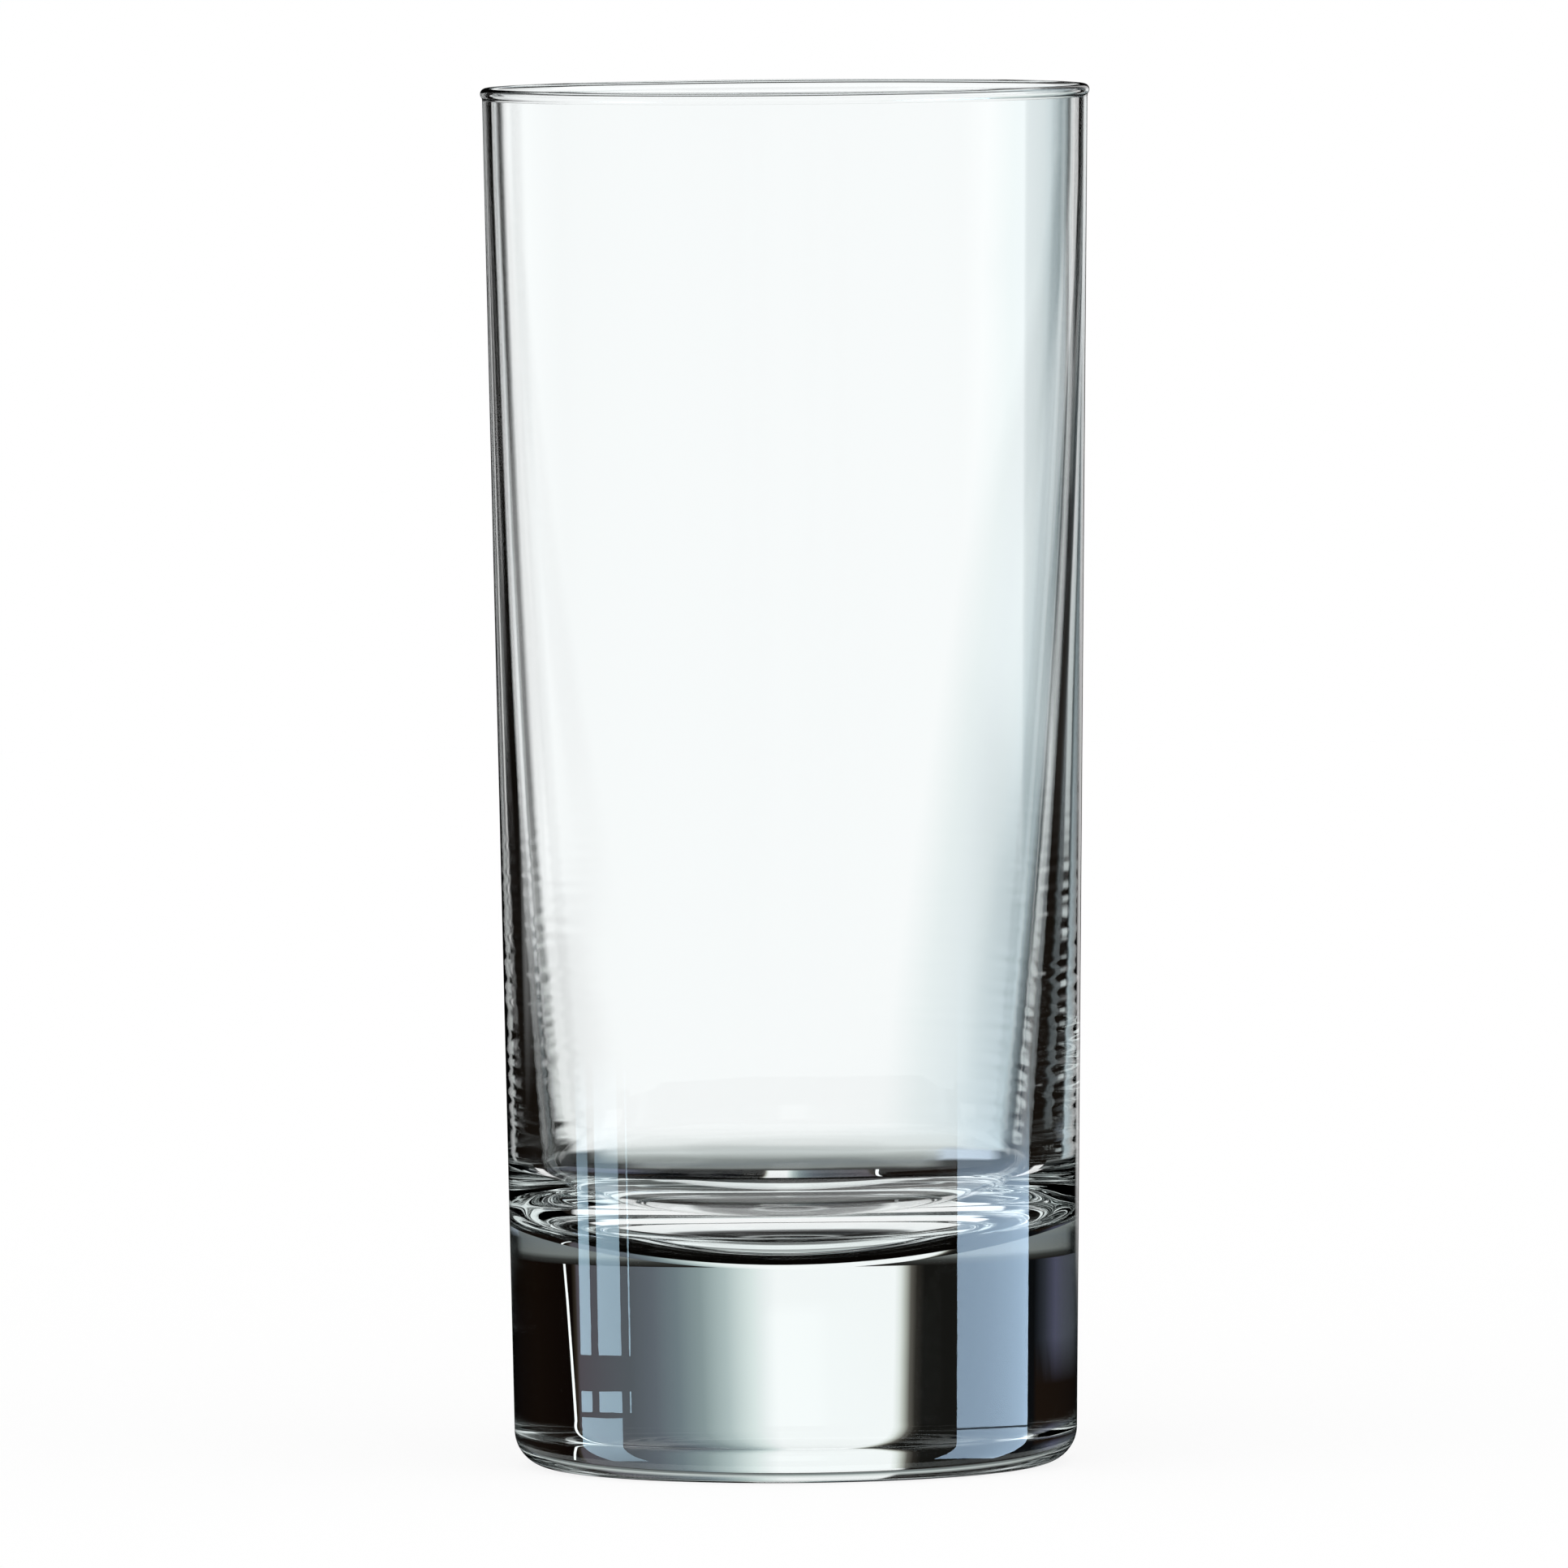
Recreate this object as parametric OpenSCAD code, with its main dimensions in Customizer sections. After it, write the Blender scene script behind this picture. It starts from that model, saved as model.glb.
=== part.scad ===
// Highball glass: a straight, slightly tapered tumbler on a thick solid base.
// The real glass is one casting. It is drawn here as the four zones that its maker forms one after the other,
// each a closed solid that meets the next one face to face on a flat level ring: the bearing ring that it stands
// on, the solid base with the bowl of the inside, the side wall, and the rim that is melted round by a flame.
// Millimetres, Z up, with the origin on the table at the centre of the bearing ring.

/* [Overall] */
// Height from the table to the top of the rim
height = 145; // [120:1:175]
// Outside diameter of the side wall, carried up to the top of the rim
mouth_d = 63.6; // [58:0.1:74]
// Outside diameter of the side wall, carried down to the table
foot_d = 59.1; // [54:0.1:70]

/* [Rim] */
// Thickness of the round bead
bead_t = 1.5; // [1.35:0.05:1.8]
// How far the bead stands out past the outside of the wall
bead_proud = 0.2; // [0.1:0.05:0.3]
// Height of the rim, from the top of the bead to where its neck has run into the wall
rim_h = 2.6; // [2.4:0.1:5]

/* [Side wall] */
// Thickness of the wall under the rim
wall_t = 0.95; // [0.7:0.05:1]
// Thickness of the wall at its foot, where the bowl begins
wall_foot_t = 4.2; // [2.5:0.1:6]

/* [Base] */
// Thickness of the glass under the lowest point of the inside
floor_t = 21.4; // [12:0.2:28]
// Height of the bowl, from the lowest point of the inside to the foot of the wall
bowl_h = 11.1; // [9.5:0.1:18]
// Radius of the round corner between the floor and the wall
corner_r = 8.5; // [5:0.1:9]
// Radius of the heel, the round outside edge at the table
heel_r = 3.1; // [2:0.1:5]

/* [Bearing ring] */
// Width of the flat band that touches the table
bearing_w = 1.9; // [1:0.1:4]
// Depth of the recess that the bearing ring encloses
recess_h = 1.2; // [0.6:0.1:1.6]
// Radius of the round inner edge of the bearing ring
recess_edge_r = 1.6; // [1.2:0.1:3]

/* [Hidden] */
$fn = 96;

// Steps of each round stretch of the outlines
bead_steps = 14;
neck_steps = 5;
wall_steps = 12;
bowl_steps = 10;
heel_steps = 8;

// Where the bead leaves off below its widest point, as an angle
neck_a = 30;

// Levels of the joints between the zones
wall_top_z = height - rim_h;
wall_foot_z = floor_t + bowl_h;

// Outside of the side wall at a level
function outer_r(z) = foot_d / 2 + (mouth_d - foot_d) / 2 * z / height;

// How far down the wall a level lies: 0 under the rim and 1 at the foot
function depth_share(z) = (wall_top_z - z) / (wall_top_z - wall_foot_z);

// Inside of the side wall at a level: the glass thickens downwards with the square of the depth
function inner_r(z) = outer_r(z) - wall_t - (wall_foot_t - wall_t) * pow(depth_share(z), 2);

// Points along an arc and along a curve that leaves p and reaches r in the directions of q
function arc(c, r, from, to, n) =
    [for (i = [0 : n]) let (a = from + (to - from) * i / n) c + r * [cos(a), sin(a)]];
function curve(p, q, r, n) =
    [for (i = [0 : n]) let (t = i / n) (1 - t) * (1 - t) * p + 2 * t * (1 - t) * q + t * t * r];

// A stretch that goes on from the last point of the one before it, so that no point comes twice
function onward(points) = [for (i = [1 : len(points) - 1]) points[i]];

// The bead and the two points where its neck begins
bead_c = [mouth_d / 2 + bead_proud - bead_t / 2, height - bead_t / 2];
neck_out = bead_c + bead_t / 2 * [cos(neck_a), -sin(neck_a)];
neck_in = bead_c + bead_t / 2 * [-cos(neck_a), -sin(neck_a)];

// The neck keeps the direction of the bead until it meets the line of the wall
function neck_turn(p, wall_r) = [wall_r, p[1] - abs(p[0] - wall_r) / tan(neck_a)];

// The lean of the inside at the foot of the wall, and the round corner that carries it into the floor
foot_slope = (mouth_d - foot_d) / 2 / height + 2 * (wall_foot_t - wall_t) / (wall_top_z - wall_foot_z);
lean_a = atan(foot_slope);
corner_c = [inner_r(wall_foot_z) - corner_r * cos(lean_a), wall_foot_z + corner_r * sin(lean_a)];

// The floor is a shallow dish that touches the corner and has its lowest point on the axis
corner_rise = corner_c[1] - floor_t;
dish_r = (pow(corner_c[0], 2) + pow(corner_rise, 2) - pow(corner_r, 2)) / (2 * (corner_rise - corner_r));
dish_a = asin(corner_c[0] / (dish_r - corner_r));
dish_c = [0, floor_t + dish_r];

// The heel: an arc that leaves the wall and ends flat on the table
heel_c = [outer_r(heel_r) - heel_r, heel_r];
heel_cut_a = asin((heel_r - recess_h) / heel_r);

// Inner edge of the bearing ring: an arc from the table up to the recess
recess_edge_a = acos((recess_edge_r - recess_h) / recess_edge_r);
recess_edge_c = [heel_c[0] - bearing_w, recess_edge_r];

module rim() {
    wall_out = [outer_r(wall_top_z), wall_top_z];
    wall_in = [inner_r(wall_top_z), wall_top_z];
    outer_neck = curve(wall_out, neck_turn(neck_out, wall_out[0]), neck_out, neck_steps);
    bead = arc(bead_c, bead_t / 2, -neck_a, 180 + neck_a, bead_steps);
    inner_neck = curve(neck_in, neck_turn(neck_in, wall_in[0]), wall_in, neck_steps);
    outline = concat(outer_neck, onward(bead), onward(inner_neck));
    color([0.80, 0.88, 0.88, 0.45]) rotate_extrude() polygon(outline);
}

module side_wall() {
    inside = [for (i = [0 : wall_steps])
        let (z = wall_foot_z + (wall_top_z - wall_foot_z) * i / wall_steps) [inner_r(z), z]];
    outside = [[outer_r(wall_top_z), wall_top_z], [outer_r(wall_foot_z), wall_foot_z]];
    color([0.86, 0.93, 0.94, 0.35]) rotate_extrude() polygon(concat(inside, outside));
}

module base() {
    heel = arc(heel_c, heel_r, -heel_cut_a, 0, heel_steps);
    corner = arc(corner_c, corner_r, -lean_a, dish_a - 90, bowl_steps);
    dish = arc(dish_c, dish_r, dish_a - 90, -90, bowl_steps);
    outline = concat([[0, recess_h]], heel, [[outer_r(wall_foot_z), wall_foot_z]], corner, onward(dish));
    color([0.72, 0.80, 0.83, 0.55]) rotate_extrude() polygon(outline);
}

module bearing_ring() {
    heel = arc(heel_c, heel_r, -90, -heel_cut_a, heel_steps);
    edge = arc(recess_edge_c, recess_edge_r, -90 - recess_edge_a, -90, heel_steps);
    color([0.62, 0.70, 0.74, 0.6]) rotate_extrude() polygon(concat(heel, edge));
}

rim();
side_wall();
base();
bearing_ring();
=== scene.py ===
# %% [markdown]
# A highball glass, rebuilt round its CAD model.
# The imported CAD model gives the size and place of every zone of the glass. This script gives the looks: one
# smooth glass surface with its small irregularities, a clear soda-lime glass, and a quiet studio round it.

# %% Load the CAD model and keep its box
import math

import bmesh
import bpy
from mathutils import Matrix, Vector, noise


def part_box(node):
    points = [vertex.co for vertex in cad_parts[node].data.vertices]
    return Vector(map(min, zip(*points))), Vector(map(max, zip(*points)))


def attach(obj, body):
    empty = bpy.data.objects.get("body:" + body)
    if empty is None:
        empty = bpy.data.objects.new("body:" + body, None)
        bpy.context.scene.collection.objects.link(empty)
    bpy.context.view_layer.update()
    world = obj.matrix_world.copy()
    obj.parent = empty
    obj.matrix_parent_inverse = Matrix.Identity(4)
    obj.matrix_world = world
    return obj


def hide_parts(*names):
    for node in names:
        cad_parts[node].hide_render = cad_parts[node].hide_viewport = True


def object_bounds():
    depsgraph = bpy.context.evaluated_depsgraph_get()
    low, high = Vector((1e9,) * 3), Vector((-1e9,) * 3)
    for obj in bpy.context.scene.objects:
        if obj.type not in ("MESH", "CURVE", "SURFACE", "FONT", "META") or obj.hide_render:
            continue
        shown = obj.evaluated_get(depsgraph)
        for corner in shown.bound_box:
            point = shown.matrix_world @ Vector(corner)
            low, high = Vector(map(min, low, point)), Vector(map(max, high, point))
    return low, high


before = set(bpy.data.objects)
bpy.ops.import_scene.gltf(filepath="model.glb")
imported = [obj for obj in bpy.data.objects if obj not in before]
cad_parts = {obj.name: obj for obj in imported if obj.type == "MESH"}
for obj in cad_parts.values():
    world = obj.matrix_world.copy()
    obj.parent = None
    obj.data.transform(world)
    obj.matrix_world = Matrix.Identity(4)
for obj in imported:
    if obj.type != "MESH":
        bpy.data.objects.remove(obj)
cad_low, cad_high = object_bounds()
MM = 0.001
print("CAD nodes:", ", ".join(sorted(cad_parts)))
print("CAD box in mm:", [round(v / MM, 2) for v in (*cad_low, *cad_high)])

# %% [markdown]
# The camera is part of the picture, so it is settled before anything is dressed.
# A tall glass shows straight sides only from far away, through a long lens. The rim looks like a very thin
# ellipse and the foot like a wider one. That tells how high the eye is: a little above the rim, and two and
# a half metres off. The lens then follows from the number of pixels that the glass fills. The picture leans
# by half a degree, and so does the camera.

# %% Camera
FRAME_PX = 1932
GLASS_PX = 1696.8
EYE_DISTANCE = 2.45
EYE_HEIGHT = 0.199
AIM = Vector((-0.00068, 0.0, 0.0716))
ROLL = math.radians(0.48)

height = cad_high.z - cad_low.z
eye = Vector((AIM.x, -EYE_DISTANCE, EYE_HEIGHT))
pitch = math.atan2(eye.z - AIM.z, EYE_DISTANCE)
distance = (AIM - eye).length
focal_px = GLASS_PX / (height * math.cos(pitch)) * distance

camera_data = bpy.data.cameras.new("studio_camera")
camera_data.sensor_width = 36.0
camera_data.lens = focal_px / FRAME_PX * camera_data.sensor_width
camera_data.clip_end = 50.0
camera = bpy.data.objects.new("studio_camera", camera_data)
camera.location = eye
camera.rotation_mode = "ZYX"
camera.rotation_euler = (math.pi / 2 - pitch, 0.0, -ROLL)
bpy.context.collection.objects.link(camera)
bpy.context.scene.camera = camera
print(f"lens {camera_data.lens:.0f} mm, looking down {math.degrees(pitch):.2f} degrees")

# %% [markdown]
# The glass is a solid of revolution, so its whole shape is one outline: out along the underside, round the
# heel, up the outside, over the bead of the rim, down the inside and across the floor of the bowl. The
# zones meet without a seam in the real casting, so here they are one surface. Two surfaces that touch
# inside clear glass would show.
# The levels and the outer radii come from the boxes of the CAD nodes. The other sizes come with the step
# that needs them. Those of the bead, the heel and the ring on the table differ from the CAD model by a few
# tenths of a millimetre, because the photograph's outline asks for it.

# %% Sizes that the CAD model gives
rim_low, rim_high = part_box("rim")
wall_low, wall_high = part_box("side_wall")
base_low, base_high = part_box("base")
ring_low, ring_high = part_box("bearing_ring")

MOUTH_R = wall_high.x
WALL_TOP = rim_low.z
WALL_FOOT = wall_low.z
RECESS = ring_high.z
TAPER = (MOUTH_R - base_high.x) / (WALL_TOP - WALL_FOOT)
print(f"wall from {WALL_FOOT / MM:.1f} to {WALL_TOP / MM:.1f} mm up")
print(f"half taper {math.degrees(math.atan(TAPER)):.2f} degrees")


# %% Helpers for outlines
def outer_r(z):
    """Radius of the outside of the wall at a level."""
    return MOUTH_R - TAPER * (WALL_TOP - z)


def arc(centre, radius, start, end, step=2.5):
    """Points on an arc from start to end, in degrees."""
    count = max(2, round(abs(end - start) / step))
    angles = [math.radians(start + (end - start) * i / count) for i in range(count + 1)]
    return [(centre[0] + radius * math.cos(a), centre[1] + radius * math.sin(a)) for a in angles]


def curve(p, q, r, count=12):
    """Points on the curve that leaves p and reaches r in the directions of q."""
    out = []
    for i in range(count + 1):
        t = i / count
        a, b, c = (1 - t) ** 2, 2 * t * (1 - t), t * t
        out.append((a * p[0] + b * q[0] + c * r[0], a * p[1] + b * q[1] + c * r[1]))
    return out


def line(p, q, step):
    """Points on a straight stretch, about one step apart."""
    count = max(1, round(math.dist(p, q) / step))
    return [(p[0] + (q[0] - p[0]) * i / count, p[1] + (q[1] - p[1]) * i / count) for i in range(count + 1)]


print("outer radius at the table:", round(outer_r(0) / MM, 2), "mm")

# %% [markdown]
# A tumbler never stands on its whole underside, which would rock on any grain of sand. It stands on a
# narrow ring round a shallow recess, and outside the ring the heel is round so that it doesn't chip. A
# bevel on a cylinder could make both. Arcs in the outline are chosen, because their centres follow from the
# sizes.

# %% Foot and outside of the wall
HEEL_R = 3.8 * MM
BEARING_W = 1.2 * MM
RECESS_EDGE_R = 1.6 * MM
COARSE_STEP = 2 * MM

heel_c = (outer_r(HEEL_R) - HEEL_R, HEEL_R)
edge_c = (heel_c[0] - BEARING_W, RECESS_EDGE_R)
edge_turn = math.degrees(math.acos((RECESS_EDGE_R - RECESS) / RECESS_EDGE_R))
recess_edge = arc(edge_c, RECESS_EDGE_R, -90 - edge_turn, -90, step=8)
heel = arc(heel_c, HEEL_R, -90, 0, step=4)
underside = line((0.0, RECESS), recess_edge[0], COARSE_STEP) + recess_edge + heel
print(f"foot stands on a ring {2 * heel_c[0] / MM:.1f} mm across")

# %% [markdown]
# The rim of a tumbler is cut and then melted round by a flame. Surface tension draws the soft edge into a
# bead a little thicker than the wall, with a very short neck under it. The neck decides how the rim looks:
# a long one bends light far enough to draw a second, ghostly line. So the bead is two thirds of a circle,
# and two short curves lead from it into the wall.

# %% Rim
BEAD_T = 1.2 * MM
WALL_T = 0.95 * MM
WALL_FOOT_T = 4.2 * MM
LEAN_OUT = 40
LEAN_IN = 22
NECK_FOOT = WALL_TOP + 1.3 * MM


def inner_r(z):
    """Radius of the inside of the wall at a level. The glass thickens with the square of the depth."""
    depth = (WALL_TOP - z) / (WALL_TOP - WALL_FOOT)
    return outer_r(z) - WALL_T - (WALL_FOOT_T - WALL_T) * depth ** 2


bead_c = (rim_high.x - BEAD_T / 2, rim_high.z - BEAD_T / 2)
bead = arc(bead_c, BEAD_T / 2, -LEAN_OUT, 180 + LEAN_IN, step=8)
wall_out = (outer_r(NECK_FOOT), NECK_FOOT)
wall_in = (inner_r(NECK_FOOT), NECK_FOOT)
level_out = bead[0][1] - (bead[0][0] - wall_out[0]) / math.tan(math.radians(LEAN_OUT))
level_in = bead[-1][1] - (wall_in[0] - bead[-1][0]) / math.tan(math.radians(LEAN_IN))
neck_out = curve(wall_out, (outer_r(level_out), level_out), bead[0])
neck_in = curve(bead[-1], (inner_r(level_in), level_in), wall_in)
rim = neck_out + bead + neck_in
outside = line((outer_r(HEEL_R), HEEL_R), wall_out, COARSE_STEP)
print(f"bead {BEAD_T / MM:.1f} mm thick on a wall of {(wall_out[0] - wall_in[0]) / MM:.2f} mm")

# %% [markdown]
# The inside ends in a round corner and a floor that dips a little in the middle. The corner and the floor
# work as lenses, so a kink between two stretches would show as a hard ring. That is why each stretch starts
# in the direction in which the one before it ends. The levels of the wall lie close together, because the
# faint waves of the next step need them.

# %% Inside
FLOOR_T = 21.4 * MM
CORNER_R = 8.5 * MM
FINE_STEP = 0.25 * MM

count = round((NECK_FOOT - WALL_FOOT) / FINE_STEP)
levels = [NECK_FOOT - (NECK_FOOT - WALL_FOOT) * i / count for i in range(count + 1)]
wall = [(inner_r(z), z) for z in levels]
lean = math.atan(TAPER + 2 * (WALL_FOOT_T - WALL_T) / (WALL_TOP - WALL_FOOT))
corner_c = (inner_r(WALL_FOOT) - CORNER_R * math.cos(lean), WALL_FOOT + CORNER_R * math.sin(lean))
corner_up = corner_c[1] - FLOOR_T
dish_r = (corner_c[0] ** 2 + corner_up ** 2 - CORNER_R ** 2) / (2 * (corner_up - CORNER_R))
dish_turn = math.degrees(math.asin(corner_c[0] / (dish_r - CORNER_R)))
corner = arc(corner_c, CORNER_R, -math.degrees(lean), dish_turn - 90, step=2)
dish = arc((0.0, FLOOR_T + dish_r), dish_r, dish_turn - 90, -90, step=0.4)
print(f"dish radius {dish_r / MM:.1f} mm, wall leans {math.degrees(lean):.1f} degrees at its foot")


# %% One outline
def without_doubles(points, least=0.004 * MM):
    """The outline without points that lie on each other."""
    out = [points[0]]
    for p in points[1:]:
        if math.dist(p, out[-1]) > least:
            out.append(p)
    return out


outside_part = without_doubles(underside + outside + rim)
inside_part = without_doubles(wall + corner + dish)
outline = without_doubles(outside_part + inside_part)
print(f"outline of {len(outline)} points")

# %% [markdown]
# A pressed or blown glass is never quite true. The inside cools against nothing, or against a plunger that
# is colder than the glass, so it keeps faint waves, and its axis lies a little off the axis of the outside.
# The waves are too shallow to feel, and still the thick lower wall turns them into the small bright and
# dark wiggles that tell cast glass from a perfect tube. They show most at the flanks, where the eye looks
# along the wall.
# A bump in the material could bend the light as well, but a mesh that leaves Blender without it would be a
# perfect tube. So the waves are made in the mesh itself, and only the faintest ripple is left to the
# material.

# %% Waves of the inside surface
WAVE_DEPTH = 0.010 * MM
WAVE_TOP = 78 * MM
WAVE_FREE = 8 * MM
FINE_WAVE = 0.9 * MM
BROAD_WAVE = 6 * MM
WAVES_ROUND = 2.2
FRONT_WAVES = 0.3
FLANK_WAVES = 1.2
OFF_CENTRE = 0.55 * MM
STRAIGHT_ABOVE = 125 * MM


def smooth(value, low, high):
    """A share that rises smoothly from 0 at low to 1 at high."""
    t = min(1.0, max(0.0, (value - low) / (high - low)))
    return t * t * (3 - 2 * t)


def lean_over(z):
    """How far the axis of the inside lies off the axis of the outside, to the left."""
    return OFF_CENTRE * (1.0 - smooth(z, WALL_FOOT, STRAIGHT_ABOVE))


def wave(x, y, z):
    """How far the inside surface stands off its outline, at a level and in a direction of length 1."""
    share = 1.0 - smooth(z, WALL_FOOT + WAVE_FREE, WAVE_TOP)
    around = Vector((x, y, 0.0)) * WAVES_ROUND
    fine = noise.noise(around + Vector((0, 0, z / FINE_WAVE)))
    broad = noise.noise(around * 0.5 + Vector((9, 0, z / BROAD_WAVE)))
    flank = FRONT_WAVES + FLANK_WAVES * abs(x) ** 6
    return WAVE_DEPTH * share * flank * (fine + 0.5 * broad)


print(f"the inside lies {lean_over(WALL_FOOT) / MM:.2f} mm off the axis at the foot of the wall")

# %% [markdown]
# The Screw modifier could turn the outline round the axis. It gives a perfect surface, though, and here the
# inside is moved point by point. So the rings are made in bmesh, one for each point of the outline, and
# faces close the gap between each ring and the next. They are small and shaded smooth, because flat ones
# would show as facets.

# %% Turn the outline into a surface
SEGMENTS = 360


def ring_of_points(build, r, z, is_inside):
    """The points of one ring, or a single point where the outline meets the axis."""
    shift = lean_over(z) if is_inside else 0.0
    if r < 1e-9:
        return [build.verts.new((-shift, 0.0, z))]
    ring = []
    for i in range(SEGMENTS):
        a = 2 * math.pi * i / SEGMENTS
        x, y = math.cos(a), math.sin(a)
        wide = r + wave(x, y, z) if is_inside else r
        ring.append(build.verts.new((x * wide - shift, y * wide, z)))
    return ring


def lathe(name, points, first_inside):
    """A closed surface of revolution. Its first and last points lie on the axis."""
    mesh = bpy.data.meshes.new(name)
    build = bmesh.new()
    rings = [ring_of_points(build, r, z, k >= first_inside) for k, (r, z) in enumerate(points)]
    for low, high in zip(rings, rings[1:]):
        for i in range(SEGMENTS):
            j = (i + 1) % SEGMENTS
            if len(low) == 1:
                build.faces.new((low[0], high[j], high[i]))
            elif len(high) == 1:
                build.faces.new((low[i], low[j], high[0]))
            else:
                build.faces.new((low[i], low[j], high[j], high[i]))
    for face in build.faces:
        face.smooth = True
    build.to_mesh(mesh)
    build.free()
    piece = bpy.data.objects.new(name, mesh)
    bpy.context.collection.objects.link(piece)
    return piece


glass = lathe("highball_glass", outline, len(outside_part))
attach(glass, "root")
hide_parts("rim", "side_wall", "base", "bearing_ring")
print(f"{glass.name} has {len(glass.data.polygons)} faces")

# %% [markdown]
# Soda-lime glass, the stuff of nearly all tumblers, has a refractive index of about 1.52. Melting the
# surface with a flame leaves it smooth, so it has no roughness, only a faint ripple some millimetres wide.
# Traces of iron take a little red and blue out of the light. In a thin wall nobody sees that, and through
# the thick base it is a faint blue-green. A tinted surface would colour thin and thick glass alike, so the
# tint is an absorption in the volume.


# %% Helpers for materials
def linear(code):
    """An sRGB hex colour as linear red, green, blue and alpha."""
    parts = [int(code[i:i + 2], 16) / 255 for i in (1, 3, 5)]
    return [v / 12.92 if v <= 0.04045 else ((v + 0.055) / 1.055) ** 2.4 for v in parts] + [1.0]


def add(tree, kind, inputs=None, **settings):
    """Adds one node. An input is a plain value, a hex colour, or the output of a node to link to it."""
    made = tree.nodes.new(kind)
    for key, value in settings.items():
        setattr(made, key, value)
    for key, value in (inputs or {}).items():
        if isinstance(value, bpy.types.NodeSocket):
            tree.links.new(value, made.inputs[key])
        elif isinstance(value, str):
            made.inputs[key].default_value = linear(value)
        else:
            made.inputs[key].default_value = value
    return made


def empty_material(name):
    """A new material without nodes, and its node tree."""
    material = bpy.data.materials.new(name)
    material.use_nodes = True
    material.node_tree.nodes.clear()
    return material, material.node_tree


print("mid grey #808080 is", round(linear("#808080")[0], 3), "in linear light")

# %% Soda-lime glass, fire-polished
GLASS_IOR = 1.52
GLASS_TINT = "#dff3ee"
TINT_PER_M = 2.0
RIPPLE_WIDE = 4 * MM
RIPPLE_HIGH = 0.02 * MM
RIPPLE_SHARE = 0.05

material, tree = empty_material("soda_lime_glass_fire_polished")
place = add(tree, "ShaderNodeTexCoord").outputs["Object"]
ripple = add(tree, "ShaderNodeTexNoise", {"Vector": place, "Scale": 1 / RIPPLE_WIDE, "Detail": 1.0})
bump = add(tree, "ShaderNodeBump", {
    "Height": ripple.outputs["Fac"], "Strength": RIPPLE_SHARE, "Distance": RIPPLE_HIGH})
surface = add(tree, "ShaderNodeBsdfPrincipled", {
    "Base Color": "#ffffff", "Roughness": 0.0, "IOR": GLASS_IOR, "Transmission Weight": 1.0,
    "Normal": bump.outputs["Normal"]})
tint = add(tree, "ShaderNodeVolumeAbsorption", {"Color": GLASS_TINT, "Density": TINT_PER_M})
add(tree, "ShaderNodeOutputMaterial", {
    "Surface": surface.outputs["BSDF"], "Volume": tint.outputs["Volume"]})
glass.data.materials.append(material)
print(material.name, "on", glass.name)

# %% [markdown]
# Glass has no colour of its own to light. It shows what stands round it, bent and mirrored, so the studio
# is the finish. Lamps would only give points of glare. A world whose colour depends on the direction gives
# the large, quiet fields of a studio for glassware, and it is quick to render.
# Directions are told in degrees: the turn is counted from straight behind the glass to the right of the
# picture, and the rise from level upwards. Aside is how far the turn lies to either side of a direction a
# little right of the middle. Away says how far a direction points away from the camera, from -1 to 1.

# %% An empty world and its measures
ASIDE_FROM = 3.5

scene = bpy.context.scene
scene.world = bpy.data.worlds.new("studio")
scene.world.use_nodes = True
room = scene.world.node_tree
room.nodes.clear()


def slope(degrees):
    """The upward share of a direction that rises by so many degrees."""
    return math.sin(math.radians(degrees))


direction = add(room, "ShaderNodeTexCoord").outputs["Generated"]
axes = add(room, "ShaderNodeSeparateXYZ", {"Vector": direction}).outputs
turn = add(room, "ShaderNodeMath", {0: axes["X"], 1: axes["Y"]}, operation="ARCTAN2").outputs[0]
off = add(room, "ShaderNodeMath", {0: turn, 1: math.radians(ASIDE_FROM)}, operation="SUBTRACT").outputs[0]
aside = add(room, "ShaderNodeMath", {0: off}, operation="ABSOLUTE").outputs[0]
MEASURES = {
    "rise": (axes["Z"], slope),
    "turn": (turn, math.radians),
    "aside": (aside, math.radians),
    "away": (axes["Y"], float),
}
print("the room is told by", ", ".join(MEASURES))

# %% [markdown]
# The thin wall hardly bends a ray, so it shows the backdrop as it is: bright straight behind, fading to
# blue-grey at the right. The thick glass at its sides bends a ray far round. There the room alternates
# between dark and bright, and that draws the black and white lines along the wall.
# Most rays go on nearly level and see the level room. Those that the bowl or the rim bends down see the low
# room, and those that are bent up see the upper room. Each room is a list of turns with a colour, and a
# colour ramp blends them.

# %% Colours of the room by turn
FAR_ROOM = "#f6fcfc"
DARK_ROOM = "#0e0c0a"
LEVEL_ROOM = [
    (-46, "#e8f0f0"), (-42, "#1a1410"), (-33, "#140f0c"), (-31, "#e8f0f0"), (-27.2, "#ffffff"),
    (-25.6, "#080604"), (-14.4, "#080604"), (-13.6, "#ffffff"), (-12, "#ffffff"), (-11.4, "#1c1a18"),
    (-9.2, "#1c1a18"), (-8.1, "#fcffff"), (2, "#fcffff"), (2.7, "#e9f2f2"), (3.4, "#e0eaec"),
    (4.2, "#d8e4e6"), (5.2, "#c8d8dc"), (6.9, "#aec0c4"), (8.3, "#9eb0b4"), (8.9, "#5a6466"),
    (9.7, "#505a5c"), (10.3, "#f4ffff"), (13.2, "#ffffff"), (14.3, "#080604"), (24.5, "#080604"),
    (26, "#ffffff"), (34, "#ffffff"), (38, "#0c0a08"), (45, "#140f0c"), (50, "#e8f0f0"),
]
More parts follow.
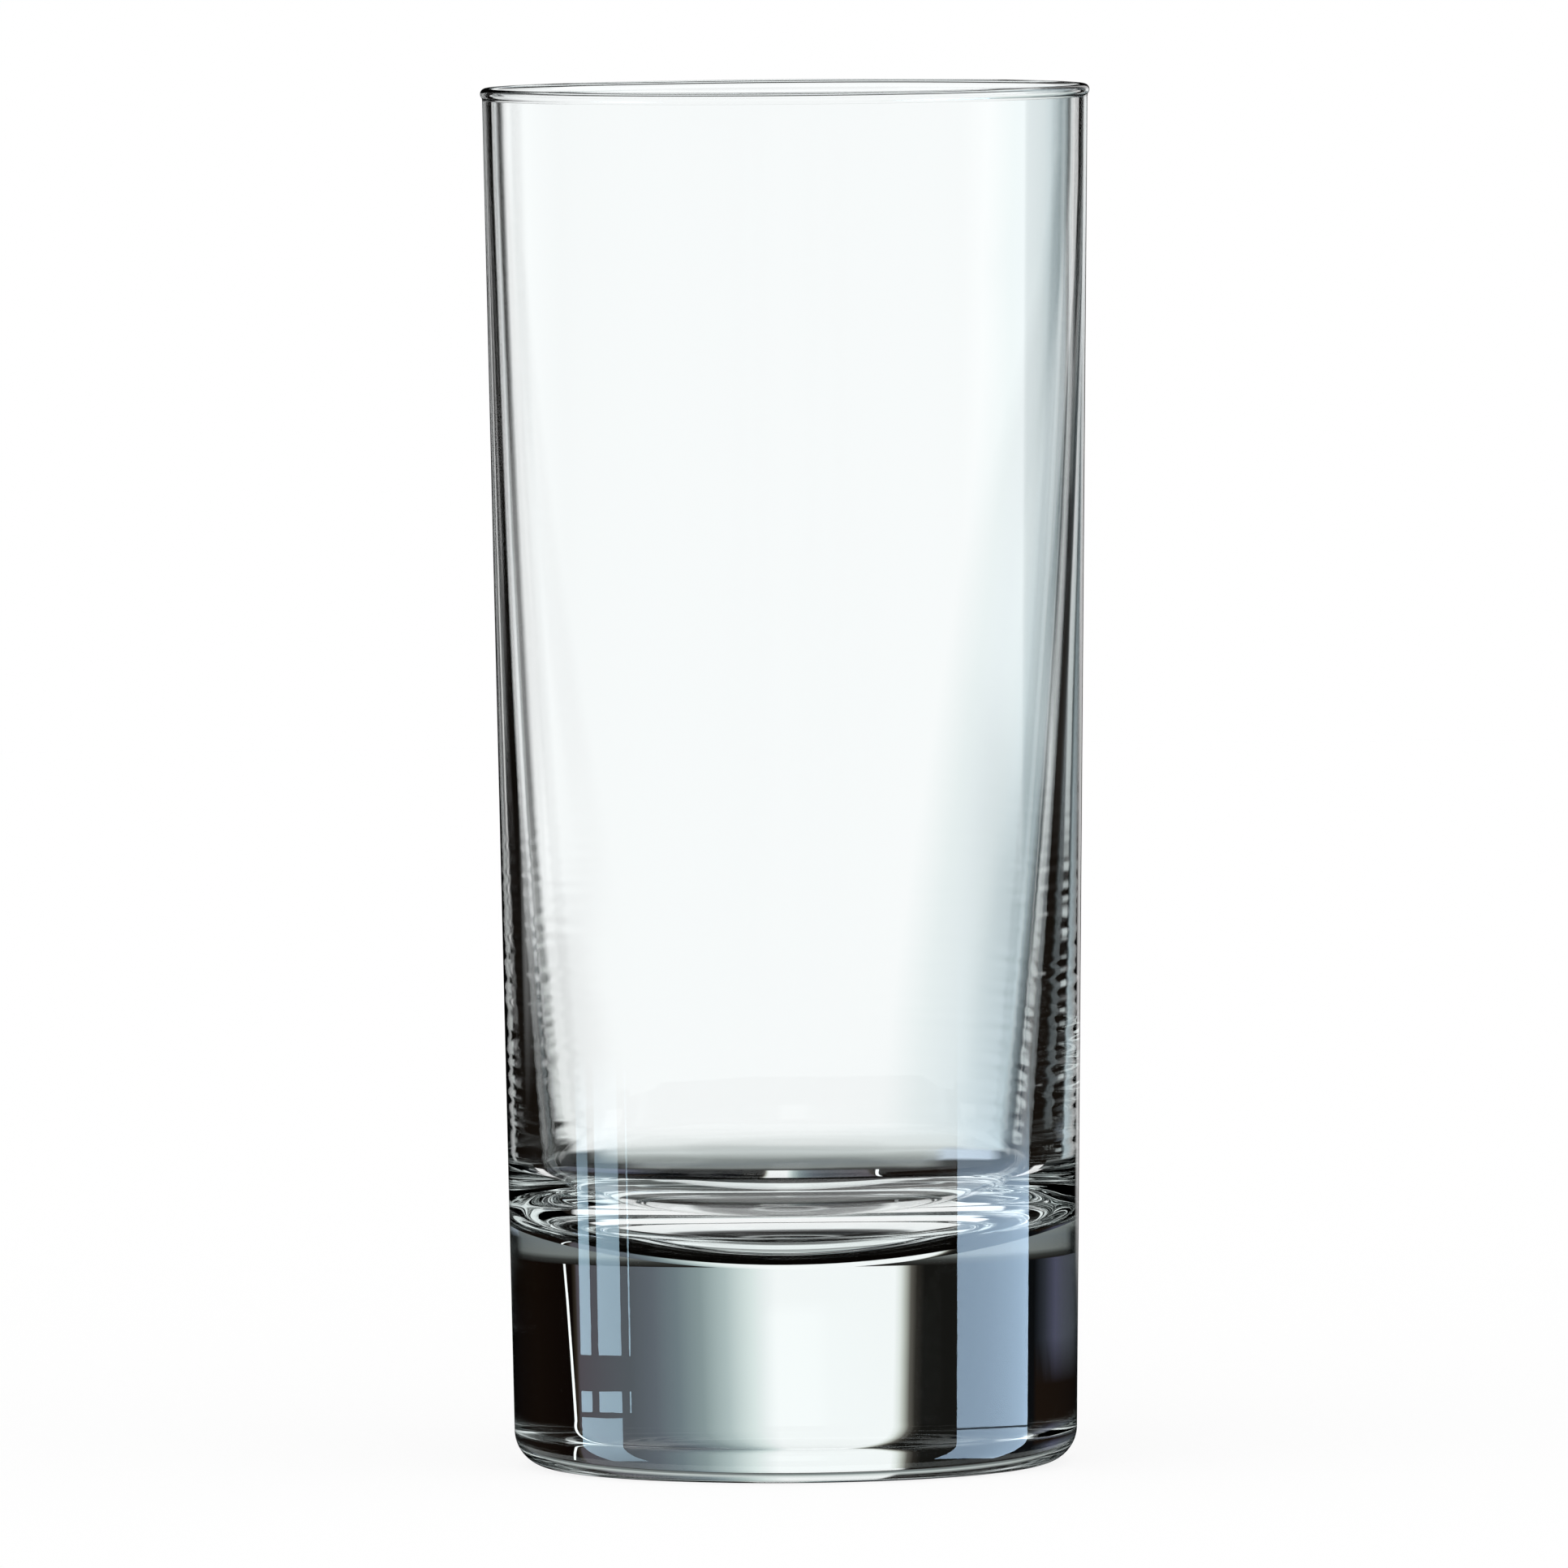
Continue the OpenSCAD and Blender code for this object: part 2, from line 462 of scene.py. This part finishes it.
LOW_ROOM = [
    (-60, "#d8e0e0"), (-50, "#a0a4a4"), (-45, "#141210"), (-18, "#201c1a"), (-17, "#6c6e6e"),
    (-15.8, "#cbd0d0"), (-14, "#f4faf8"), (-6, "#fcffff"), (2, "#fcffff"), (6, "#e6f0f2"),
    (9, "#d6e4e8"), (12.3, "#d0e0e6"), (15, "#ccdee4"), (17, "#8c9a9e"), (19.6, "#5a6466"),
    (21, "#c8d2d2"), (26, "#c8d2d2"), (28, "#4a4c4c"), (34, "#2a2826"), (42, "#242220"),
    (45, "#e8ecec"), (60, "#f4f8f8"),
]
UPPER_ROOM = [
    (-90, "#f8ffff"), (-75, "#0c0806"), (-45, "#0c0806"), (-17, "#1c1a18"), (-15.6, "#fcffff"),
    (2, "#fcffff"), (5.4, "#e0ecea"), (8.9, "#b6c6c4"), (12.5, "#90a0a4"), (16, "#748288"),
    (25, "#62686c"), (38, "#5c5a60"), (43, "#140c08"), (75, "#0c0806"), (90, "#f8ffff"),
]


def colours_round(angle, stops):
    """Colours by turn round the glass, between the first and the last stop. The angle comes in radians."""
    first, last = stops[0][0], stops[-1][0]
    share = add(room, "ShaderNodeMapRange",
                {"Value": angle, "From Min": math.radians(first), "From Max": math.radians(last)})
    ramp = add(room, "ShaderNodeValToRGB", {"Fac": share.outputs["Result"]})
    points = ramp.color_ramp.elements
    points.remove(points[1])
    for i, (degrees, code) in enumerate(stops):
        spot = points[0] if i == 0 else points.new((degrees - first) / (last - first))
        spot.color = linear(code)
    return ramp.outputs["Color"]


def near_room(angle, stops):
    """The stops where they reach, and the far room past them."""
    size = add(room, "ShaderNodeMath", {0: angle}, operation="ABSOLUTE").outputs[0]
    past = add(room, "ShaderNodeMath", {0: size, 1: math.radians(stops[-1][0])}, operation="GREATER_THAN")
    mix = add(room, "ShaderNodeMix", {0: past.outputs[0], 6: colours_round(angle, stops), 7: FAR_ROOM},
              data_type="RGBA")
    return mix.outputs[2]


low = near_room(turn, LOW_ROOM)
upper = near_room(turn, UPPER_ROOM)
print("stops in the room:", len(LEVEL_ROOM), len(LOW_ROOM), len(UPPER_ROOM))

# %% [markdown]
# In the photograph the bands along the wall move inwards towards the bottom, where the wall is thicker. A
# part of that comes from the shape of the glass. The rest is in the room: below a certain rise its stops
# draw apart, faster on the right.

# %% The level room, which widens downwards
WIDENS_BELOW = -2.4
WIDENS_LEFT = 4.7
WIDENS_RIGHT = 10.0

under = add(room, "ShaderNodeMath", {0: axes["Z"], 1: slope(WIDENS_BELOW)}, operation="SUBTRACT").outputs[0]
under = add(room, "ShaderNodeMath", {0: under, 1: 0.0}, operation="MINIMUM").outputs[0]
right = add(room, "ShaderNodeMath", {0: turn, 1: 0.0}, operation="GREATER_THAN").outputs[0]
widening = add(room, "ShaderNodeMath", {0: right, 1: WIDENS_LEFT - WIDENS_RIGHT, 2: -WIDENS_LEFT},
               operation="MULTIPLY_ADD").outputs[0]
wide = add(room, "ShaderNodeMath", {0: under, 1: widening, 2: 1.0}, operation="MULTIPLY_ADD").outputs[0]
drawn_in = add(room, "ShaderNodeMath", {0: turn, 1: wide}, operation="DIVIDE").outputs[0]
level = near_room(drawn_in, LEVEL_ROOM)
print("the level room widens below", WIDENS_BELOW, "degrees")

# %% [markdown]
# The rooms are laid over each other in patches with soft edges: first the low room, then the level one and
# the upper one above it. Some rays leave the bowl and the rim steeply, and what they see isn't told by the
# turn alone. For them there are small patches. The dark ones low down draw the soft line in the corner of
# the bowl. The one steeply below and those overhead draw the fine lines of the rim. The bright ones keep
# the glass clear when it is seen from above.

# %% Patches of the room
BEHIND = ("away", -0.2, 0.2)
PATCHES = [
    (level, [("rise", -9.5, -6.2)]),
    (upper, [("rise", 1.5, 3.0)]),
    ("#1c1a18", [BEHIND, ("rise", -14, -18), ("turn", 9, 7)]),
    ("#16120e", [BEHIND, ("aside", 11.5, 16.5), ("rise", -9.2, -10.6)]),
    (FAR_ROOM, [("rise", -24, -27)]),
    (DARK_ROOM, [BEHIND, ("rise", -33, -35), ("rise", -46, -43)]),
    (DARK_ROOM, [("away", -0.4, -0.6), ("rise", 20, 23)]),
    (DARK_ROOM, [("rise", 43, 50)]),
    (FAR_ROOM, [BEHIND, ("rise", 57, 59), ("rise", 70, 65)]),
]


def laid_over(ground, colour, edges):
    """A colour laid over the ground. An edge is a measure, where the colour begins and where it is full."""
    share = None
    for name, start, full in edges:
        measure, unit = MEASURES[name]
        edge = add(room, "ShaderNodeMapRange",
                   {"Value": measure, "From Min": unit(start), "From Max": unit(full)},
                   interpolation_type="SMOOTHSTEP").outputs["Result"]
        if share is None:
            share = edge
        else:
            share = add(room, "ShaderNodeMath", {0: share, 1: edge}, operation="MULTIPLY").outputs[0]
    return add(room, "ShaderNodeMix", {0: share, 6: ground, 7: colour}, data_type="RGBA").outputs[2]


through = low
for colour, edges in PATCHES:
    through = laid_over(through, colour, edges)
print(len(PATCHES), "patches laid over the low room")

# %% [markdown]
# The outside of the glass also mirrors the room, at about 4 percent where it faces the eye and more towards
# its sides. A mirrored ray gets a room of its own, dark but for a few bright fields at the sides, so that
# the clear middle stays free of haze. The Light Path node tells the rays apart. A ray that is bent through
# glass counts as a glossy ray too, so Is Transmission Ray has the last word. A ray from the camera itself
# sees plain white.

# %% The mirrored room and the light path
MIRRORED_ROOM = [
    (-180, "#202020"), (-109, "#080808"), (-84, "#080808"), (-60, "#a8aaaa"), (-46, "#a8aaaa"),
    (-42, "#040404"), (8, "#040404"), (10, "#a8a8a8"), (17, "#a8a8a8"), (20, "#080808"),
    (74, "#080808"), (76, "#ffffff"), (109, "#202428"), (180, "#202020"),
]
MIRRORED_FLOOR = [("rise", -4.5, -4.0)]
ROOM_LEVEL = 1.01
MIRRORED_LEVEL = 2.2

mirrored = laid_over("#000000", colours_round(turn, MIRRORED_ROOM), MIRRORED_FLOOR)
path = add(room, "ShaderNodeLightPath").outputs
plain = add(room, "ShaderNodeBackground", {"Color": "#ffffff", "Strength": 1.0}).outputs[0]
bent_light = add(room, "ShaderNodeBackground", {"Color": through, "Strength": ROOM_LEVEL}).outputs[0]
mirror_light = add(room, "ShaderNodeBackground", {"Color": mirrored, "Strength": MIRRORED_LEVEL}).outputs[0]
seen = add(room, "ShaderNodeMixShader", {0: path["Is Glossy Ray"], 1: plain, 2: mirror_light}).outputs[0]
seen = add(room, "ShaderNodeMixShader", {0: path["Is Transmission Ray"], 1: seen, 2: bent_light}).outputs[0]
add(room, "ShaderNodeOutputWorld", {"Surface": seen})
print(len(room.nodes), "nodes in the world")

# %% [markdown]
# A ray may cross the walls and the base many times before it leaves the glass. With too few bounces it ends
# there and leaves a black spot, so the limits are raised.

# %% Colour management and bounces
scene.view_settings.view_transform = "Standard"
scene.cycles.max_bounces = 32
scene.cycles.transmission_bounces = 32
scene.cycles.glossy_bounces = 16
print("view transform:", scene.view_settings.view_transform)

# %% [markdown]
# A photographer of glassware stands black and white cards just outside the picture. Here a card is a bent
# sheet with light painted on its points. An image could be laid on it, but a few colours on points blend
# just as softly. A card is seen either through the glass or mirrored in it, and never by the camera, so the
# picture keeps its plain white ground. The alpha of the paint lets a card fade out into the room behind it.


# %% Helpers for cards
def ring_point(radius, degrees, z):
    """A point at a turn round the glass, in degrees from straight behind."""
    a = math.radians(degrees)
    return (radius * math.sin(a), radius * math.cos(a), z)


def painted_sheet(name, sheet):
    """The mesh of a sheet of points, in rows of equal length. Each point has a place and a colour."""
    wide = len(sheet[0])
    quads = [(i * wide + j, i * wide + j + 1, (i + 1) * wide + j + 1, (i + 1) * wide + j)
             for i in range(len(sheet) - 1) for j in range(wide - 1)]
    spots = [spot for row in sheet for spot in row]
    mesh = bpy.data.meshes.new(name)
    mesh.from_pydata([place for place, colour in spots], [], quads)
    paint = mesh.color_attributes.new("paint", "FLOAT_COLOR", "POINT")
    for dot, (place, colour) in zip(paint.data, spots):
        dot.color = colour
    return mesh


def glowing_card(name, strength, mirrored):
    """A card that glows in its painted colours, and is clear where the paint is."""
    material, tree = empty_material("painted_card_" + name)
    paint = add(tree, "ShaderNodeVertexColor", layer_name="paint").outputs
    glow = add(tree, "ShaderNodeEmission", {"Color": paint["Color"], "Strength": strength}).outputs[0]
    clear = add(tree, "ShaderNodeBsdfTransparent").outputs[0]
    shown = add(tree, "ShaderNodeMixShader", {0: paint["Alpha"], 1: clear, 2: glow}).outputs[0]
    if mirrored:
        bent = add(tree, "ShaderNodeLightPath").outputs["Is Transmission Ray"]
        shown = add(tree, "ShaderNodeMixShader", {0: bent, 1: shown, 2: clear}).outputs[0]
    add(tree, "ShaderNodeOutputMaterial", {"Surface": shown})
    return material


def card(name, sheet, strength, mirrored):
    """A card that is seen only mirrored in the glass, or only through it."""
    mesh = painted_sheet(name, sheet)
    mesh.materials.append(glowing_card(name, strength, mirrored))
    piece = bpy.data.objects.new(name, mesh)
    bpy.context.collection.objects.link(piece)
    piece.visible_camera = False
    piece.visible_diffuse = False
    piece.visible_shadow = False
    piece.visible_volume_scatter = False
    piece.visible_glossy = mirrored
    piece.visible_transmission = not mirrored
    print(f"card {name} with {len(mesh.vertices)} points")
    return piece


# %% [markdown]
# The solid base is a strong round lens. Its focus lies about 44 mm from the axis, so nearly all it shows is
# a narrow stretch of what stands there, turned left to right and drawn out over its whole width. A collar
# of card stands round the foot close to that focus. Behind the glass it has a white stripe with one sharp
# and one soft edge, which fills the middle of the base. In front it has a second white stripe, for an eye
# that looks from behind.

# %% Collar
COLLAR_R = 50 * MM
COLLAR_LEVEL = 1.03
COLLAR = [
    (-180, "#fbffff"), (-175, "#f0f6f6"), (-171, "#8a9a9c"), (-160, "#545c62"), (-146, "#14161a"),
    (-104, "#0c0a08"), (-96, "#5a6066"), (-88, "#ccd4d4"), (-84, "#0c0a08"), (-76, "#0c0a08"),
    (-74, "#ffffff"), (-63, "#ffffff"), (-61, "#3c4248"), (-41, "#5a6068"), (-31, "#565a66"),
    (-25.4, "#54566a"), (-20.4, "#30343c"), (-17, "#0c0e10"), (-6.0, "#06070a"), (-5.5, "#161614"),
    (-3.3, "#161614"), (-2.95, "#2c2a26"), (-2.7, "#5c5a54"), (-2.5, "#b0b4ac"), (-2.3, "#e4eae6"),
    (-2.1, "#fbffff"), (0.3, "#fbffff"), (0.5, "#f0f6f6"), (0.74, "#deeae8"), (1.28, "#b2c2c2"),
    (1.96, "#8a9a9c"), (2.83, "#707e84"), (4.0, "#606870"), (5.6, "#565c62"), (11.8, "#545056"),
    (12.3, "#322c24"), (13.0, "#0c0705"), (24, "#140d08"), (61, "#0c0705"), (63, "#ffffff"),
    (74, "#ffffff"), (76, "#0c0a08"), (84, "#0c0a08"), (88, "#ccd4d4"), (96, "#5a6066"),
    (104, "#0c0a08"), (160, "#14161a"), (171, "#545c62"), (174, "#f0f6f6"), (180, "#fbffff"),
]
COLLAR_BLACK = "#050403"
COLLAR_TOP = 20.2
COLLAR_TOP_FRONT = 24.5
FRONT_TURN = 104
FRONT_RISES = (85, 105)
BROWN_TURNS = (-74, -17)
BROWN = "#1c140e"


def stop_colour(stops, value):
    """The linear colour at a value, blended between its two stops."""
    for (a, first), (b, second) in zip(stops, stops[1:]):
        if a <= value <= b:
            t = (value - a) / (b - a)
            return [u * (1 - t) + v * t for u, v in zip(linear(first), linear(second))]
    return linear(stops[-1][1])


def collar_column(degrees):
    """The places and colours up the collar at one turn. In front it is higher, and black above."""
    black = linear(COLLAR_BLACK)
    colour = stop_colour(COLLAR, degrees)
    foot = linear(BROWN) if BROWN_TURNS[0] < degrees < BROWN_TURNS[1] else colour
    upper = black if abs(degrees) > FRONT_TURN else colour
    top = COLLAR_TOP + (COLLAR_TOP_FRONT - COLLAR_TOP) * smooth(abs(degrees), *FRONT_RISES)
    column = [(-26, black), (0.2, black), (0.5, foot), (5.5, foot), (10.5, colour), (14, colour),
              (16, upper), (top, upper)]
    return [(ring_point(COLLAR_R, degrees, z * MM), code) for z, code in column]


collar_turns = sorted({degrees for degrees, code in COLLAR} | set(range(-180, 181, 3)))
card("collar", [collar_column(degrees) for degrees in collar_turns], COLLAR_LEVEL, False)

# %% [markdown]
# Near the left side of the base runs one thin bright line, a little aslant. It is the image of some narrow
# bright edge in the studio. It could be painted on the collar, but a slanting line is sharper as a slanting
# card, so it is a slim strip of its own just inside the collar.

# %% Bright edge
EDGE_TURNS = (14.2, 12.4)
EDGE_LEVELS = (20.0, 0.5)
EDGE_WIDE = 0.5
EDGE_R = 0.99 * COLLAR_R
EDGE_COLOUR = "#f4fafa"
EDGE_LIGHT = 1.3

edge_sheet = []
for share in (0.0, 0.25, 0.5, 0.75, 1.0):
    z = EDGE_LEVELS[0] + (EDGE_LEVELS[1] - EDGE_LEVELS[0]) * share
    middle = EDGE_TURNS[0] + (EDGE_TURNS[1] - EDGE_TURNS[0]) * share ** 0.8
    sides = (middle - EDGE_WIDE / 2, middle + EDGE_WIDE / 2)
    edge_sheet.append([(ring_point(EDGE_R, degrees, z * MM), linear(EDGE_COLOUR)) for degrees in sides])
card("bright_edge", edge_sheet, EDGE_LIGHT, False)

# %% [markdown]
# The round corner of the bowl looks out just over the collar. In the photograph it is a soft grey line
# between the clear wall and the bright rings of the floor. A grey strip that fades out upwards gives that
# line. It stands a little nearer than the collar, is darker at its sides, and has one pale blue field at
# the right.

# %% Strip behind the corner of the bowl
STRIP_R = 42 * MM
STRIP_SPLIT = 22.5
STRIP_MIDDLE = [
    (19.6, "#1c1a18"), (20.1, "#3c3e3c"), (20.6, "#7a807e"), (21.9, "#788082"), (22.85, "#868e8c"),
    (23.8, "#aeb6b4"), (24.8, "#ccd4d3"),
]
STRIP_FADE = [(26.6, "#d4dcda", 0.6), (31.0, "#e8f0ee", 0.0)]
STRIP_BLUE = "#c4d4e2"
BLUE_STARTS, BLUE_ENDS = (26, 30), (43, 47)
LOW_SIDES, HIGH_SIDES = (24, 31), (30, 40)
SIDE_SHADE = 0.93


def strip_column(degrees):
    """The places and colours up the strip at one turn."""
    low_side = smooth(abs(degrees), *LOW_SIDES)
    high_side = smooth(abs(degrees), *HIGH_SIDES)
    blue = smooth(degrees, *BLUE_STARTS) * (1 - smooth(degrees, *BLUE_ENDS))
    column = []
    for z, code in STRIP_MIDDLE:
        is_low = z < STRIP_SPLIT
        side = low_side if is_low else high_side
        colour = [v * (1 - SIDE_SHADE * side) for v in linear(code)[:3]]
        if not is_low:
            colour = [u * (1 - blue) + v * blue for u, v in zip(colour, linear(STRIP_BLUE))]
        column.append((ring_point(STRIP_R, degrees, z * MM), colour + [1.0]))
    for z, code, share in STRIP_FADE:
        column.append((ring_point(STRIP_R, degrees, z * MM), linear(code)[:3] + [share * (1 - high_side)]))
    return column


card("corner_shade", [strip_column(degrees) for degrees in range(-75, 76, 3)], 1.0, False)

# %% [markdown]
# Through its clear underside the glass shows the table on which it stands: dark in the shade of the foot,
# with light that comes in round the edge. It draws bright and dark rings on the floor of the bowl. A lit
# table would blur them, so the table that the glass shows is a painted disc just under it.

# %% Disc under the glass
UNDER = [
    (0, "#202020"), (3.5, "#2a2a2a"), (5, "#a4a8a8"), (6.5, "#2c2c2c"), (11, "#303030"),
    (14, "#747676"), (16, "#f4f8f8"), (27.5, "#ffffff"),
]
UNDER_FAR = "#26221e"
UNDER_LEVEL = -0.2 * MM
UNDER_COLUMNS = 96
FAR_TURN = 78
FAR_FROM = 12

under_sheet = []
for i in range(UNDER_COLUMNS + 1):
    degrees = 360 * i / UNDER_COLUMNS
    is_far = min(degrees, 360 - degrees) < FAR_TURN
    column = [(r, UNDER_FAR if is_far and r > FAR_FROM else code) for r, code in UNDER]
    under_sheet.append([(ring_point(r * MM, degrees, UNDER_LEVEL), linear(code)) for r, code in column])
card("under_glass", under_sheet, 1.0, False)

# %% [markdown]
# The polished outside mirrors two lights of the studio as upright pale blue bars: a soft box at the right,
# and at the left a window, whose panes and bars can be told apart. They fade out up the wall. Area lamps
# would mirror as flat shapes and would light the floor too. Bent cards give each bar its own width, ends
# and fading.

# %% Soft box and window
SOFTBOX = [
    (-110, 0.8), (-8.5, 0.9), (-8.4, 0.1), (-8.1, 0.1), (-8.0, 1.0), (14, 1.0), (19, 0.7), (23, 0.25),
    (27, 0.1), (34, 0.05), (50, 0.0),
]
WINDOW_UPPER = [(0.6, 1.0), (14, 1.0), (19, 0.8), (23, 0.4), (27, 0.15), (34, 0.0)]
WINDOW_LOWER = [(-5.7, 1.0), (-3.4, 1.0)]
WINDOW_FOOT = [(-110, 0.5), (-6.3, 0.9)]
SOFTBOX_TURNS = (79, 117)
WINDOW_TURNS = (-111.4, -90.3)
PANES = {"narrow": (-96.3, -90.3), "wide": (-111.4, -100.1), "line": (-115.7, -115)}
SOFTBOX_BLUE, SOFTBOX_LEVEL = "#c2e0fc", 9.0
WINDOW_BLUE, WINDOW_LEVEL = "#c0e4f8", 8.0
LIGHT_R = 150 * MM
LIGHT_COLUMNS = 12


def bent_light_card(name, turns, column, code, strength):
    """A card bent round the glass, seen only mirrored. Its column has a share of light at each level."""
    sheet = []
    for i in range(LIGHT_COLUMNS + 1):
        degrees = turns[0] + (turns[1] - turns[0]) * i / LIGHT_COLUMNS
        sheet.append([(ring_point(LIGHT_R, degrees, z * MM), [v * share for v in linear(code)[:3]] + [1.0])
                      for z, share in column])
    return card(name, sheet, strength, True)


bent_light_card("right_softbox", SOFTBOX_TURNS, SOFTBOX, SOFTBOX_BLUE, SOFTBOX_LEVEL)
for pane, turns in PANES.items():
    bent_light_card("window_upper_" + pane, turns, WINDOW_UPPER, WINDOW_BLUE, WINDOW_LEVEL)
    bent_light_card("window_lower_" + pane, turns, WINDOW_LOWER, WINDOW_BLUE, WINDOW_LEVEL)
bent_light_card("window_foot", WINDOW_TURNS, WINDOW_FOOT, WINDOW_BLUE, WINDOW_LEVEL)

# %% [markdown]
# The glass stands on white paper, which in the photograph is as white as the ground behind it. Brighter
# lamps would wash the glass out as well. So the paper takes most of its white from a glow of its own, and
# the rest from the light that falls on it, which keeps the shadow of the glass. A rough diffuse surface is
# what uncoated paper is.

# %% Floor
FLOOR_HALF = 1.5
PAPER_GLOW = 0.85

floor_corners = [(x * FLOOR_HALF, y * FLOOR_HALF, 0) for x, y in ((-1, -1), (1, -1), (1, 1), (-1, 1))]
floor_mesh = bpy.data.meshes.new("floor")
floor_mesh.from_pydata(floor_corners, [], [(0, 1, 2, 3)])
floor = bpy.data.objects.new("floor", floor_mesh)
bpy.context.collection.objects.link(floor)
floor.visible_transmission = False
floor.visible_glossy = False

material, tree = empty_material("pale_paper_floor")
paper = add(tree, "ShaderNodeBsdfDiffuse", {"Color": "#ffffff", "Roughness": 1.0}).outputs[0]
glow = add(tree, "ShaderNodeEmission", {"Color": "#ffffff", "Strength": 1.0}).outputs[0]
sheet_of_paper = add(tree, "ShaderNodeMixShader", {0: PAPER_GLOW, 1: paper, 2: glow}).outputs[0]
add(tree, "ShaderNodeOutputMaterial", {"Surface": sheet_of_paper})
floor_mesh.materials.append(material)
print(f"{floor.name} is {2 * FLOOR_HALF:.0f} m wide")
